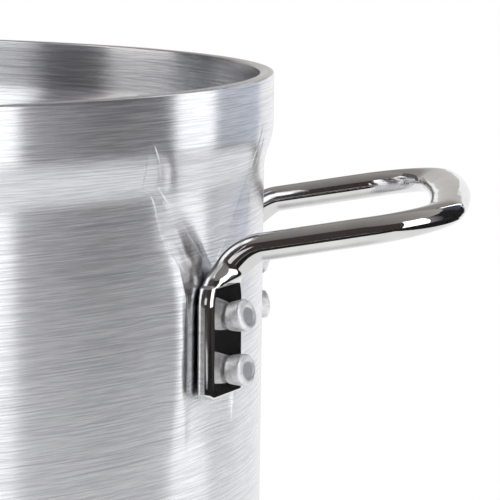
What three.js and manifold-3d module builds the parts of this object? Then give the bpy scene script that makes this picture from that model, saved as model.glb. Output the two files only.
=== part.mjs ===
// A catering stockpot: one spun aluminium shell with a stepped collar, and two bent rod handles,
// each held by two flat lugs and four rivets. Millimetres, +Z up, origin under the middle of the base.
import * as THREE from "three";
import { mergeVertices } from "three/addons/utils/BufferGeometryUtils.js";
import Module from "manifold-3d";

// The shell
const POT_HEIGHT = 320;
const INNER_RADIUS = 160;
const WALL = 4;
const BASE_THICKNESS = 5;
const BASE_CORNER_RADIUS = 16;
const BODY_DRAFT = 1.5;
const COLLAR_HEIGHT = 16.7;
const COLLAR_STEP = 2.65;
const BEVEL_HEIGHT = 8;
const RIM_CHAMFER = 0.4;

// The pressed pads that the lugs sit on
const PAD_WIDTH = 30;
const PAD_MARGIN = 5;
const PAD_FADE = 13;

// The handles
const LEG_SPACING = 118.6;
const LEG_DROP = 43.9;
const LEG_RISE = THREE.MathUtils.degToRad(9.2);
const ROD_DIAMETER = 7.6;
const BEND_RADIUS = 12.4;
const BEND_FILL = 1.1;
const GRIP_REACH = 53;
const GRIP_WIDTH = 11.5;
const GRIP_THICKNESS = 7.1;
const GRIP_CORNER_RADIUS = 21.4;
const GRIP_BOW_RADIUS = 380;
const GRIP_EASE = 6;

// The flat lugs at the ends of the rods
const LUG_DROP = 52.5;
const LUG_LENGTH = 31.1;
const LUG_WIDTH = 21.6;
const LUG_THICKNESS = 5.2;
const LUG_BELT = 1.4;
const LUG_EDGE_RADIUS = 1.1;
const LUG_BACK_RADIUS = 2.7;
const LUG_FOOT_BOW = 2.1;
const LUG_BOW_HEIGHT = 12;
const LUG_SHOULDER_WIDTH = 18.6;
const LUG_SHOULDER_HEIGHT = 5;

// The root of the rod, which stands proud of the lug above a small step
const STEP_DEPTH = 0.95;
const STEP_HEIGHT = 0.65;
const ROOT_WIDTH = 16.4;
const ROOT_HEIGHT = 1.6;
const ROOT_BELT = 2.4;
const ROOT_CORNER = 3.2;
const ROOT_BACK_ROUNDING = 6.5;

// The rivets
const RIVET_DROP = 8.2;
const RIVET_SPACING = 14.4;
const RIVET_HEAD_DIAMETER = 8.5;
const RIVET_SEAT_DIAMETER = 7.4;
const RIVET_HEAD_HEIGHT = 5.5;
const RIVET_SHOULDER = 1;
const RIVET_SHANK_DIAMETER = 6;
const RIVET_FLAT_DIAMETER = 5.3;
const RIVET_DIMPLE_DEPTH = 0.25;
const RIVET_INNER_DIAMETER = 10;
const RIVET_INNER_HEIGHT = 2.2;

// The clear space left between pieces that lie on or pass through each other
const CLEARANCE = 0.3;

// How finely the curves are cut
const WALL_STEP = THREE.MathUtils.degToRad(5.1);
const SECTION_POINTS = 16;
const RIVET_SIDES = 14;

const wasm = await Module();
wasm.setup();

// Levels of the shell
const bevelTop = POT_HEIGHT - COLLAR_HEIGHT;
const bevelFoot = bevelTop - BEVEL_HEIGHT;
const bodyRadius = INNER_RADIUS + WALL;
const rimRadius = bodyRadius + COLLAR_STEP;
const footRadius = bodyRadius - BODY_DRAFT;

// Levels of the lugs, and the flat planes that they lie on
const lugTop = POT_HEIGHT - LUG_DROP;
const lugFoot = lugTop - LUG_LENGTH;
const lugMiddle = (lugTop + lugFoot) / 2;
const padRadius = wallRadius(lugMiddle);
const padPlane = Math.sqrt(padRadius ** 2 - (PAD_WIDTH / 2) ** 2);
const padHalfAngle = Math.asin(PAD_WIDTH / 2 / padRadius);
const lugBack = padPlane + CLEARANCE;
const rodRadius = ROD_DIAMETER / 2;
const rootPlane = lugBack + (LUG_THICKNESS + STEP_DEPTH) / 2;
const lugAngle = Math.asin(LEG_SPACING / 2 / rootPlane);
const lugAngles = [lugAngle, Math.PI - lugAngle, Math.PI + lugAngle, 2 * Math.PI - lugAngle];
const holeRadius = RIVET_SHANK_DIAMETER / 2 + CLEARANCE;
const rivetLevels = { upper: lugTop - RIVET_DROP, lower: lugTop - RIVET_DROP - RIVET_SPACING };

// The body narrows evenly from the foot of the bevel to the top of the base corner.
function wallRadius(z) {
  const share = (bevelFoot - z) / (bevelFoot - BASE_CORNER_RADIUS);
  return bodyRadius - BODY_DRAFT * THREE.MathUtils.clamp(share, 0, 1);
}

// A closed solid from a geometry with only positions kept
function solidOf(geometry) {
  const bare = geometry.clone();
  bare.deleteAttribute("normal");
  bare.deleteAttribute("uv");
  const merged = mergeVertices(bare);
  return new wasm.Manifold(new wasm.Mesh({
    numProp: 3,
    vertProperties: merged.attributes.position.array,
    triVerts: new Uint32Array(merged.index.array),
  }));
}

// A geometry again from a cut solid
function geometryOf(solid) {
  const mesh = solid.getMesh();
  const geometry = new THREE.BufferGeometry();
  geometry.setAttribute("position", new THREE.BufferAttribute(mesh.vertProperties, 3));
  geometry.setIndex(new THREE.BufferAttribute(mesh.triVerts, 1));
  geometry.computeVertexNormals();
  return geometry;
}

// Rings of points joined into one closed skin, with a fan over each end. The rings run so that the
// points turn anticlockwise when seen from the end that the skin grows towards.
function loft(rings, firstCentre, lastCentre) {
  const count = rings[0].length;
  const points = rings.flat();
  const index = [];
  for (let i = 0; i + 1 < rings.length; i++) {
    for (let j = 0; j < count; j++) {
      const a = i * count + j;
      const b = i * count + ((j + 1) % count);
      index.push(a, b, b + count, a, b + count, a + count);
    }
  }
  const first = points.push(firstCentre) - 1;
  const last = points.push(lastCentre) - 1;
  const lastRing = (rings.length - 1) * count;
  for (let j = 0; j < count; j++) {
    const k = (j + 1) % count;
    index.push(first, k, j);
    index.push(last, lastRing + j, lastRing + k);
  }
  const geometry = new THREE.BufferGeometry().setFromPoints(points);
  geometry.setIndex(index);
  return geometry;
}

// A rivet hole through a wall or a lug, square to the pad
function rivetHole(angle, level) {
  const length = 2 * (WALL + LUG_THICKNESS + ROD_DIAMETER);
  const hole = new THREE.CylinderGeometry(holeRadius, holeRadius, length, RIVET_SIDES);
  hole.rotateZ(-Math.PI / 2);
  hole.translate(padPlane, 0, level);
  hole.rotateZ(angle);
  return solidOf(hole);
}

// Directions of the shell's columns: close together on the pads, even in between
function shellAngles() {
  const angles = [];
  lugAngles.forEach((angle, i) => {
    [-1, -0.5, 0, 0.5].forEach((share) => angles.push(angle + share * padHalfAngle));
    const from = angle + padHalfAngle;
    const next = i + 1 < lugAngles.length ? lugAngles[i + 1] : lugAngles[0] + 2 * Math.PI;
    const span = next - padHalfAngle - from;
    const steps = Math.ceil(span / WALL_STEP);
    for (let k = 0; k < steps; k++) angles.push(from + (span * k) / steps);
  });
  return angles;
}

// The shell's section from under the base, up the outside, over the rim and down the inside
function shellProfile() {
  const padTop = lugTop + PAD_MARGIN;
  const padFoot = lugFoot - PAD_MARGIN;
  const innerCorner = BASE_CORNER_RADIUS - WALL;
  const rows = [];
  const add = (r, z, plane) => rows.push({ r, z, plane });
  for (let k = 0; k <= 5; k++) {
    const t = (k / 5) * (Math.PI / 2);
    const r = footRadius - BASE_CORNER_RADIUS * (1 - Math.sin(t));
    add(r, BASE_CORNER_RADIUS * (1 - Math.cos(t)));
  }
  const sides = [
    [padFoot - PAD_FADE, null],
    [padFoot, 0],
    [padTop, 0],
  ];
  sides.forEach(([z, pressed]) => add(wallRadius(z), z, pressed === 0 ? padPlane : undefined));
  add(bodyRadius, bevelFoot);
  add(rimRadius, bevelTop);
  add(rimRadius, POT_HEIGHT - RIM_CHAMFER);
  add(rimRadius - RIM_CHAMFER, POT_HEIGHT);
  add(rimRadius - WALL + RIM_CHAMFER, POT_HEIGHT);
  add(rimRadius - WALL, POT_HEIGHT - RIM_CHAMFER);
  add(rimRadius - WALL, bevelTop);
  add(bodyRadius - WALL, bevelFoot);
  sides.reverse().forEach(([z, pressed]) => {
    add(wallRadius(z) - WALL, z, pressed === 0 ? padPlane - WALL : undefined);
  });
  for (let k = 4; k >= 0; k--) {
    const t = (k / 4) * (Math.PI / 2);
    const r = footRadius - WALL - innerCorner * (1 - Math.sin(t));
    add(r, BASE_THICKNESS + innerCorner * (1 - Math.cos(t)));
  }
  return rows;
}

function makeShell() {
  const angles = shellAngles();
  const rings = shellProfile().map(({ r, z, plane }) => angles.map((angle) => {
    let radius = r;
    if (plane !== undefined) {
      const offset = Math.min(...lugAngles.map((lug) => Math.abs(angle - lug)));
      const wrapped = Math.min(offset, Math.abs(angle - lugAngles[0] - 2 * Math.PI));
      if (wrapped <= padHalfAngle * 1.001) radius = Math.min(r, plane / Math.cos(wrapped));
    }
    return new THREE.Vector3(radius * Math.cos(angle), radius * Math.sin(angle), z);
  }));
  const under = new THREE.Vector3(0, 0, 0);
  const inside = new THREE.Vector3(0, 0, BASE_THICKNESS);
  let solid = solidOf(loft(rings, under, inside));
  for (const angle of lugAngles) {
    for (const level of Object.values(rivetLevels)) solid = solid.subtract(rivetHole(angle, level));
  }
  return geometryOf(solid);
}

// One ring round a handle: half its width along u, its reach along v to the front and to the back of
// its widest line, and the half sizes of its rounded corners on those two sides
function section(centre, u, v, half, reach, corner) {
  const points = [];
  for (let k = 0; k < SECTION_POINTS; k++) {
    const t = ((k + 0.5) / SECTION_POINTS) * 2 * Math.PI;
    const side = Math.sin(t) > 0 ? "back" : "front";
    const cornerU = Math.min(corner[side][0], half);
    const cornerV = Math.min(corner[side][1], reach[side]);
    const alongU = Math.sign(Math.cos(t)) * (half - cornerU) + cornerU * Math.cos(t);
    const alongV = Math.sign(Math.sin(t)) * (reach[side] - cornerV) + cornerV * Math.sin(t);
    points.push(centre.clone().addScaledVector(u, alongU).addScaledVector(v, alongV));
  }
  return points;
}

// The plan of the loop: corner centres, and where the bowed grip meets the corner arcs
const halfSpan = LEG_SPACING / 2;
const gripX = bodyRadius + GRIP_REACH;
const cornerY = halfSpan - GRIP_CORNER_RADIUS;
const bowAngle = Math.asin(cornerY / (GRIP_BOW_RADIUS - GRIP_CORNER_RADIUS));
const bowCentreX = gripX - GRIP_BOW_RADIUS;
const cornerX = bowCentreX + (GRIP_BOW_RADIUS - GRIP_CORNER_RADIUS) * Math.cos(bowAngle);

// The bend from the lug's upright line to the leg's rising line, and the leg that starts at its end
const bendTurn = Math.PI / 2 - LEG_RISE;
const bendX = rootPlane * Math.cos(lugAngle);
const bendFoot = POT_HEIGHT - LEG_DROP - BEND_RADIUS * Math.tan(bendTurn / 2);
const legX = bendX + BEND_RADIUS * (1 - Math.cos(bendTurn));
const legZ = bendFoot + BEND_RADIUS * Math.sin(bendTurn);
const legLevel = (x) => legZ + (x - legX) * Math.tan(LEG_RISE);
const bendAngleAt = (z) => Math.asin(THREE.MathUtils.clamp((z - bendFoot) / BEND_RADIUS, 0, 0.8));

// The lug on the rear leg of the right handle, from its foot up to the top of the step
function lugSections() {
  const { lerp, smoothstep } = THREE.MathUtils;
  const normal = new THREE.Vector3(Math.cos(lugAngle), Math.sin(lugAngle), 0);
  const across = new THREE.Vector3(-Math.sin(lugAngle), Math.cos(lugAngle), 0);
  const inward = normal.clone().negate();
  const halfWidth = LUG_WIDTH / 2;
  const halfTop = LUG_SHOULDER_WIDTH / 2;
  const behind = LUG_THICKNESS - LUG_BELT;
  const edge = LUG_EDGE_RADIUS;
  const rear = LUG_BACK_RADIUS;
  const rings = [];
  // a ring that lies on the lug's back plane, and bows up towards its sides near the lug's foot
  const add = (z, half, reach, corner, lift = 0) => {
    const centre = normal.clone().multiplyScalar(lugBack + reach.back + lift).setZ(z);
    const bow = LUG_FOOT_BOW * (1 - smoothstep(z, lugFoot, lugFoot + LUG_BOW_HEIGHT));
    const ring = section(centre, across, inward, half, reach, corner);
    ring.forEach((point) => { point.z += bow * (point.dot(across) / halfWidth) ** 2; });
    rings.push(ring);
  };
  [0, Math.PI / 4, Math.PI / 2].forEach((turn) => {
    const inset = edge * (1 - Math.sin(turn));
    const soft = Math.max(edge - inset, edge / 4);
    const reach = { front: LUG_BELT - inset, back: behind - inset };
    const corner = { front: [soft, soft], back: [rear - inset, rear - inset] };
    add(lugFoot + edge * (1 - Math.cos(turn)), halfWidth - inset, reach, corner, inset);
  });
  const reach = { front: LUG_BELT, back: behind };
  [0.35, 1].forEach((share) => {
    const corner = { front: [edge, edge], back: [rear, rear] };
    add(lugFoot + edge + share * LUG_BOW_HEIGHT, halfWidth, reach, corner);
  });
  [0, 0.45, 0.75, 0.97].forEach((climb) => {
    const rounding = climb ** 2;
    const back = [lerp(rear, ROOT_BACK_ROUNDING, rounding), lerp(rear, behind, rounding)];
    const half = lerp(halfWidth, halfTop, rounding);
    add(lugTop - LUG_SHOULDER_HEIGHT * (1 - climb), half, reach, { front: [edge, edge], back });
  });
  // the slanted step from the lug's face out to the root of the rod
  [0.1, 1].forEach((share) => {
    const half = lerp(halfTop, ROOT_WIDTH / 2, share);
    const front = lerp(LUG_BELT, ROOT_BELT, share);
    const back = LUG_THICKNESS + STEP_DEPTH * share - front;
    const frontCorner = [lerp(edge, ROOT_CORNER, share), lerp(edge, front, share)];
    const backCorner = [lerp(ROOT_BACK_ROUNDING, half, share), back];
    add(lugTop + STEP_HEIGHT * share, half, { front, back }, { front: frontCorner, back: backCorner });
  });
  return rings;
}

// The root turns from flat to round while the rod bends away from the wall
function bendSections() {
  const { lerp, smoothstep } = THREE.MathUtils;
  const across = new THREE.Vector3(-Math.sin(lugAngle), Math.cos(lugAngle), 0);
  const sideways = new THREE.Vector3(0, 1, 0);
  const start = bendAngleAt(lugTop + ROOT_HEIGHT);
  const rootBack = LUG_THICKNESS + STEP_DEPTH - ROOT_BELT;
  const rootLift = rootBack - (LUG_THICKNESS + STEP_DEPTH) / 2;
  const steps = 9;
  const rings = [];
  for (let k = 0; k <= steps; k++) {
    const share = (k / steps) ** 1.3;
    const t = lerp(start, bendTurn, share);
    const along = new THREE.Vector3(Math.sin(t), 0, Math.cos(t));
    const u = across.clone().lerp(sideways, share);
    u.addScaledVector(along, -u.dot(along)).normalize();
    const v = along.clone().cross(u);
    const narrow = smoothstep(share, -0.12, 0.28);
    const half = lerp(ROOT_WIDTH / 2, rodRadius, narrow);
    // the rod is a little thicker on the inner side of the bend
    const front = lerp(ROOT_BELT, rodRadius, narrow) + BEND_FILL * Math.sin(Math.PI * share);
    const back = lerp(rootBack, rodRadius, narrow);
    const round = lerp(ROOT_CORNER, half, smoothstep(share, -0.12, 0.16));
    const centre = new THREE.Vector3(bendX + BEND_RADIUS * (1 - Math.cos(t)), halfSpan,
      bendFoot + BEND_RADIUS * Math.sin(t)).addScaledVector(v, -rootLift * (1 - narrow));
    const corner = { front: [round, front], back: [half, back] };
    rings.push(section(centre, u, v, half, { front, back }, corner));
  }
  return rings;
}

// The leg, the corner and half of the bowed grip, up to the middle of the handle
function loopSections() {
  const up = new THREE.Vector3(-Math.sin(LEG_RISE), 0, Math.cos(LEG_RISE));
  const stations = [];
  stations.push({ x: (legX + cornerX) / 2, y: halfSpan, dx: 1, dy: 0 });
  const cornerSteps = 7;
  for (let k = 0; k <= cornerSteps; k++) {
    const t = Math.PI / 2 - (k / cornerSteps) * (Math.PI / 2 - bowAngle);
    stations.push({
      x: cornerX + GRIP_CORNER_RADIUS * Math.cos(t),
      y: cornerY + GRIP_CORNER_RADIUS * Math.sin(t),
      dx: Math.sin(t),
      dy: -Math.cos(t),
    });
  }
  [0.5, 0].forEach((share) => {
    const t = share * bowAngle;
    stations.push({
      x: bowCentreX + GRIP_BOW_RADIUS * Math.cos(t),
      y: GRIP_BOW_RADIUS * Math.sin(t),
      dx: Math.sin(t),
      dy: -Math.cos(t),
    });
  });
  return stations.map(({ x, y, dx, dy }) => {
    const along = new THREE.Vector3(dx, dy, dx * Math.tan(LEG_RISE)).normalize();
    const u = up.clone().cross(along).normalize();
    const share = THREE.MathUtils.smoothstep(x, cornerX - GRIP_EASE, gripX);
    const halfU = THREE.MathUtils.lerp(rodRadius, GRIP_WIDTH / 2, share);
    const halfV = THREE.MathUtils.lerp(rodRadius, GRIP_THICKNESS / 2, share);
    const oval = [halfU, halfV];
    return section(new THREE.Vector3(x, y, legLevel(x)), u, up, halfU,
      { front: halfV, back: halfV }, { front: oval, back: oval });
  });
}

// The whole handle: the rear half, then its mirror image back down to the front lug
function makeHandle() {
  const rear = [...lugSections(), ...bendSections(), ...loopSections()];
  const mirrored = (point) => new THREE.Vector3(point.x, -point.y, point.z);
  const front = rear.slice(0, -1).reverse().map((ring) => ring.map(mirrored));
  const rings = [...rear, ...front];
  // the lowest point in the middle of a lug's bowed foot
  const footOf = (ring) => ring.reduce((sum, point) => sum.add(point), new THREE.Vector3())
    .divideScalar(ring.length).setZ(lugFoot);
  let solid = solidOf(loft(rings, footOf(rings[0]), footOf(rings.at(-1))));
  for (const angle of [lugAngle, -lugAngle]) {
    for (const level of Object.values(rivetLevels)) solid = solid.subtract(rivetHole(angle, level));
  }
  return geometryOf(solid);
}

// A rivet along +Y, measured outwards from the pad: domed head inside, shank, upset head outside
function makeRivet() {
  const innerSeat = -WALL - CLEARANCE;
  const innerEnd = innerSeat - RIVET_INNER_HEIGHT;
  const seat = CLEARANCE + LUG_THICKNESS + CLEARANCE;
  const end = seat + RIVET_HEAD_HEIGHT;
  const inner = RIVET_INNER_DIAMETER / 2;
  const head = RIVET_HEAD_DIAMETER / 2;
  const foot = RIVET_SEAT_DIAMETER / 2;
  const shank = RIVET_SHANK_DIAMETER / 2;
  const flat = RIVET_FLAT_DIAMETER / 2;
  const widest = end - RIVET_SHOULDER;
  const profile = [
    [0, innerEnd],
    [0.55 * inner, innerEnd + 0.12 * RIVET_INNER_HEIGHT],
    [0.88 * inner, innerEnd + 0.5 * RIVET_INNER_HEIGHT],
    [inner, innerSeat],
    [shank, innerSeat],
    [shank, seat],
    [foot, seat],
    [foot + 0.65 * (head - foot), seat + 0.4 * (widest - seat)],
    [head, widest],
    [flat + 0.73 * (head - flat), end - 0.29 * RIVET_SHOULDER],
    [flat, end],
    [0.8 * flat, end - RIVET_DIMPLE_DEPTH],
    [0, end - RIVET_DIMPLE_DEPTH],
  ];
  const points = profile.map(([r, y]) => new THREE.Vector2(r, y));
  const geometry = new THREE.LatheGeometry(points, RIVET_SIDES);
  return geometryOf(solidOf(geometry));
}

function metal(colour, roughness) {
  return new THREE.MeshStandardMaterial({ color: colour, roughness, metalness: 1 });
}

function piece(name, geometry, material) {
  const mesh = new THREE.Mesh(geometry, material);
  mesh.name = name;
  return mesh;
}

const stockpot = new THREE.Group();
stockpot.name = "stockpot";
stockpot.add(piece("pot_body", makeShell(), metal(0xb9bcc2, 0.36)));

// Each handle with its rivets is one group, turned half round for the left side.
const handleShape = makeHandle();
const rivetShape = makeRivet();
for (const [side, turn] of [["right", 0], ["left", Math.PI]]) {
  const set = new THREE.Group();
  set.rotation.z = turn;
  set.add(piece(`${side}_handle`, handleShape, metal(0xd6d6d8, 0.07)));
  for (const [end, sign] of [["front", -1], ["rear", 1]]) {
    for (const [level, z] of Object.entries(rivetLevels)) {
      const place = turn === 0 ? end : { front: "rear", rear: "front" }[end];
      const rivet = piece(`${side}_${place}_${level}_rivet`, rivetShape, metal(0xb4b6b8, 0.48));
      rivet.rotation.z = sign * lugAngle - Math.PI / 2;
      const normal = new THREE.Vector3(Math.cos(sign * lugAngle), Math.sin(sign * lugAngle), 0);
      rivet.position.copy(normal.multiplyScalar(padPlane)).setZ(z);
      set.add(rivet);
    }
  }
  stockpot.add(set);
}

export default stockpot;
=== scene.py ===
# %% [markdown]
# # A catering stockpot with riveted rod handles
#
# The real pot is one thick aluminium shell, spun on a lathe and brushed while it turned. Each side has a
# handle bent from one chrome-plated steel rod. The rod's two ends are flattened into lugs, and two
# aluminium rivets hold each lug to a flat that was pressed into the wall.
#
# The CAD model already has all of these pieces at their real sizes. This lesson keeps those sizes, makes
# each piece again with finer curves and worked details, and gives each one the metal it is made of.

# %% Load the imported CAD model
import math

import bpy
import numpy as np
from mathutils import Matrix, Vector


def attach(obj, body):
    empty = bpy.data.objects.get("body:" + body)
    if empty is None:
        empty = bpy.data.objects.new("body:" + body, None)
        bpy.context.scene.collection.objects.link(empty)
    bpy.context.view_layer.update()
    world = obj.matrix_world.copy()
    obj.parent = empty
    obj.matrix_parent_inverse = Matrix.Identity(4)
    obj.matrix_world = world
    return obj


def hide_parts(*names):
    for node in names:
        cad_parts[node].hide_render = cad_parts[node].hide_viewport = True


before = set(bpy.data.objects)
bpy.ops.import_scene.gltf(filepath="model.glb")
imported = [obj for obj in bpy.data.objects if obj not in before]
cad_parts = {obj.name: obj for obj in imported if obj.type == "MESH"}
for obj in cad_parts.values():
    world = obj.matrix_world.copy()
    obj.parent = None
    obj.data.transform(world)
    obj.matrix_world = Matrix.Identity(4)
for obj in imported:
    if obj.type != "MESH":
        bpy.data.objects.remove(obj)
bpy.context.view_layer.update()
print("CAD pieces:", sorted(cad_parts))

# %% [markdown]
# ## The camera
#
# The photograph was taken from close by with a long lens, a little above the rim and to the right of the
# pot's middle. A camera could be placed by eye, but here the rim's ellipse, the handle and the rivets were
# fitted together, and the result is written as a place, three turns and a lens.

# %% Place the camera
CAMERA_PLACE = (0.1977, -0.8486, 0.3771)
CAMERA_TURN = 0.04403
CAMERA_PITCH = 0.1261
CAMERA_ROLL = 0.0081
CAMERA_LENS = 216.04
CAMERA_NEAR = 0.01
SENSOR_WIDTH = 36.0


def add(name, data):
    """A new object in the scene, which shows the given camera, mesh or lamp."""
    made = bpy.data.objects.new(name, data)
    bpy.context.scene.collection.objects.link(made)
    return made


def aim_camera():
    """The camera's place and its three turns as one matrix."""
    right = Vector((math.cos(CAMERA_TURN), math.sin(CAMERA_TURN), 0))
    level = Vector((-math.sin(CAMERA_TURN), math.cos(CAMERA_TURN), 0))
    ahead = level * math.cos(CAMERA_PITCH) - Vector((0, 0, math.sin(CAMERA_PITCH)))
    up = right.cross(ahead)
    rolled_right = right * math.cos(CAMERA_ROLL) + up * math.sin(CAMERA_ROLL)
    rolled_up = up * math.cos(CAMERA_ROLL) - right * math.sin(CAMERA_ROLL)
    turned = Matrix((rolled_right, rolled_up, -ahead)).transposed().to_4x4()
    turned.translation = CAMERA_PLACE
    return turned


camera_data = bpy.data.cameras.new("camera")
camera_data.sensor_width = SENSOR_WIDTH
camera_data.lens = CAMERA_LENS
camera_data.clip_start = CAMERA_NEAR
camera = add("camera", camera_data)
camera.matrix_world = aim_camera()
bpy.context.scene.camera = camera
bpy.context.scene.view_settings.view_transform = "Standard"
print("Camera at", CAMERA_PLACE, "with a lens of", CAMERA_LENS, "mm")

# %% [markdown]
# ## Helpers for meshes
#
# Every piece here is a skin over rings of points: the shell's rings go round its axis, and a handle's rings
# go round its rod. So one helper joins rings into a mesh, one hangs the mesh in the scene, and three small
# ones work out points. All sizes below are in millimetres, as on a drawing, and become metres only when the
# mesh is made.

# %% Helpers that turn rings of points into a piece
MM = 0.001


def skin(name, rings, first_tip, last_tip):
    """A closed mesh over rings of points, with a fan of triangles over each end."""
    rings = np.asarray(rings, float)
    count, sides = rings.shape[:2]
    points = np.vstack([rings.reshape(-1, 3), [first_tip], [last_tip]]) * MM
    here = np.arange(sides)
    after = (here + 1) % sides
    faces = []
    for row in range(count - 1):
        low, high = row * sides, (row + 1) * sides
        faces += np.stack([low + here, low + after, high + after, high + here], 1).tolist()
    first, last = count * sides, count * sides + 1
    top = (count - 1) * sides
    faces += [[first, b, a] for a, b in zip(here.tolist(), after.tolist())]
    faces += [[last, top + a, top + b] for a, b in zip(here.tolist(), after.tolist())]
    mesh = bpy.data.meshes.new(name)
    mesh.from_pydata(points.tolist(), [], faces)
    mesh.validate()
    mesh.shade_smooth()
    return mesh


def hang(name, mesh, node, finish):
    """Puts a mesh in the scene in place of the CAD node of the same piece."""
    piece = add(name, mesh)
    mesh.materials.append(finish)
    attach(piece, "root")
    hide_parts(node)
    return piece


def ease(value, low, high):
    """0 below low, 1 above high, and a smooth curve between them."""
    share = np.clip((np.asarray(value, float) - low) / (high - low), 0, 1)
    return share * share * (3 - 2 * share)


def blend(start, end, share):
    """A value, a point or a ring on the straight way from start to end."""
    return start + (end - start) * share


def around(count, first=0.0):
    """Angles spaced evenly round a circle. The first one is given in steps."""
    return (np.arange(count) + first) / count * 2 * math.pi


print("Mesh helpers ready: one millimetre is", MM, "metres")

# %% [markdown]
# ## Wiring for the finishes
#
# A finish is a tree of shader nodes. Placing and linking each node by hand hides the idea behind it, so a
# small class wraps a node's output and overloads the usual signs: writing `1 - mask * 0.3` adds the Math
# nodes for it. Everything else comes from one method that makes a node, sets it and links it.

# %% A bench for wiring shader nodes
class Wire:
    """One output of a node, which can be used in sums like a number."""

    def __init__(self, bench, socket):
        self.bench = bench
        self.socket = socket

    def __add__(self, other):
        return self.bench.sum("ADD", self, other)

    def __radd__(self, other):
        return self.bench.sum("ADD", other, self)

    def __sub__(self, other):
        return self.bench.sum("SUBTRACT", self, other)

    def __rsub__(self, other):
        return self.bench.sum("SUBTRACT", other, self)

    def __mul__(self, other):
        return self.bench.sum("MULTIPLY", self, other)

    def __rmul__(self, other):
        return self.bench.sum("MULTIPLY", other, self)

    def __pow__(self, other):
        return self.bench.sum("POWER", self, other)


class Bench:
    """A node tree that is being wired."""

    def __init__(self, tree):
        self.tree = tree
        tree.nodes.clear()

    def node(self, kind, settings=None, values=None):
        """A new node with its settings, and with a value or a wire on each socket that is named."""
        made = self.tree.nodes.new(kind)
        for name, value in (settings or {}).items():
            setattr(made, name, value)
        for name, value in (values or {}).items():
            if isinstance(value, Wire):
                self.tree.links.new(value.socket, made.inputs[name])
            else:
                made.inputs[name].default_value = value
        return made

    def wire(self, made, name=0):
        return Wire(self, made.outputs[name])

    def sum(self, operation, first, second):
        return self.wire(self.node("ShaderNodeMath", {"operation": operation}, {0: first, 1: second}))

    def ramp(self, value, low, high):
        """A value that rises smoothly from 0 to 1 while the given one goes from low to high."""
        return self.wire(self.node(
            "ShaderNodeMapRange",
            {"interpolation_type": "SMOOTHSTEP"},
            {"Value": value, "From Min": low, "From Max": high},
        ))

    def mix(self, share, first, second):
        """One colour blended into another."""
        return self.wire(self.node(
            "ShaderNodeMix", {"data_type": "RGBA"}, {0: share, 6: first, 7: second}), 2)

    def place(self):
        """The point's own coordinates on the piece, in metres."""
        point = self.wire(self.node("ShaderNodeTexCoord"), "Object")
        parts = self.node("ShaderNodeSeparateXYZ", values={0: point})
        return [self.wire(parts, axis) for axis in "XYZ"]

    def noise(self, point, scales, detail=2.0, rough=0.5):
        """Soft random patches. Each scale says how many of them lie along a metre of its coordinate."""
        stretched = {axis: part * scale for axis, (part, scale) in enumerate(zip(point, scales))}
        place = self.wire(self.node("ShaderNodeCombineXYZ", values=stretched))
        return self.wire(self.node("ShaderNodeTexNoise", values={
            "Vector": place, "Scale": 1.0, "Detail": detail, "Roughness": rough}))

    def bump(self, height, strength, distance):
        return self.wire(self.node("ShaderNodeBump", values={
            "Height": height, "Strength": strength, "Distance": distance}))

    def surface(self, shader):
        self.node("ShaderNodeOutputMaterial", values={"Surface": self.wire(shader)})


def new_finish(name):
    material = bpy.data.materials.new(name)
    material.use_nodes = True
    return material, Bench(material.node_tree)


# %% [markdown]
# ## Brushed aluminium
#
# The shell was brushed while it turned, so its scratches run round it as fine broken lines. Stretched
# noise draws them: the noise changes slowly along x and y and very fast along height plus radius, which
# also gives rings on the flat rim and the base. The same lines drive colour, roughness and bump.
# Brushing also spreads a reflection across the lines, so the shader is strongly anisotropic.

# %% Make the brushed aluminium
ALUMINIUM_DARK = (0.62, 0.625, 0.645, 1)
ALUMINIUM_LIGHT = (0.82, 0.825, 0.84, 1)
ALUMINIUM_SCRATCH = (0.46, 0.46, 0.48, 1)
HAIR_SCALES = (110, 110, 4200)
LINE_SCALES = (34, 34, 2700)
BAND_SCALES = (5, 5, 150)
SCRATCH_SCALES = (26, 26, 2300)
HAIR_SHARE = 0.56
LINE_SHARE = 0.4
BAND_SHARE = 0.04
STREAK_RANGE = (0.34, 0.66)
SCRATCH_RANGE = (0.62, 0.72)
SCRATCH_STRENGTH = 0.45
BRUSHED_ROUGHNESS = 0.22
STREAK_ROUGHNESS = 0.04
HAIR_HEIGHT = 0.0002


def brushed_aluminium():
    material, bench = new_finish("brushed_aluminium")
    x, y, z = bench.place()
    turned = (x, y, z + (x * x + y * y) ** 0.5)
    hairs = bench.noise(turned, HAIR_SCALES, 1.0, 0.6)
    lines = bench.noise(turned, LINE_SCALES, 0.0)
    bands = bench.noise(turned, BAND_SCALES, 1.0)
    scratches = bench.ramp(bench.noise(turned, SCRATCH_SCALES, 0.0), *SCRATCH_RANGE)
    streak = hairs * HAIR_SHARE + lines * LINE_SHARE + bands * BAND_SHARE
    evenly = bench.mix(bench.ramp(streak, *STREAK_RANGE), ALUMINIUM_DARK, ALUMINIUM_LIGHT)
    colour = bench.mix(scratches * SCRATCH_STRENGTH, evenly, ALUMINIUM_SCRATCH)
    shader = bench.node("ShaderNodeBsdfPrincipled", values={
        "Base Color": colour,
        "Metallic": 1.0,
        "Roughness": BRUSHED_ROUGHNESS + streak * STREAK_ROUGHNESS,
        "Anisotropic": 0.95,
        "Anisotropic Rotation": 0.25,
        "Normal": bench.bump(hairs, 0.03, HAIR_HEIGHT),
    })
    bench.surface(shader)
    return material


wall_finish = brushed_aluminium()
print("Finish:", wall_finish.name)

# %% [markdown]
# ## Chrome plate
#
# The rods are steel under bright chrome, a plain mirror that shows what stands around the pot. A perfect
# mirror looks false, so a slow ripple from forging bends the reflections a little, and faint wiping marks
# raise the roughness in patches.

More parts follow.
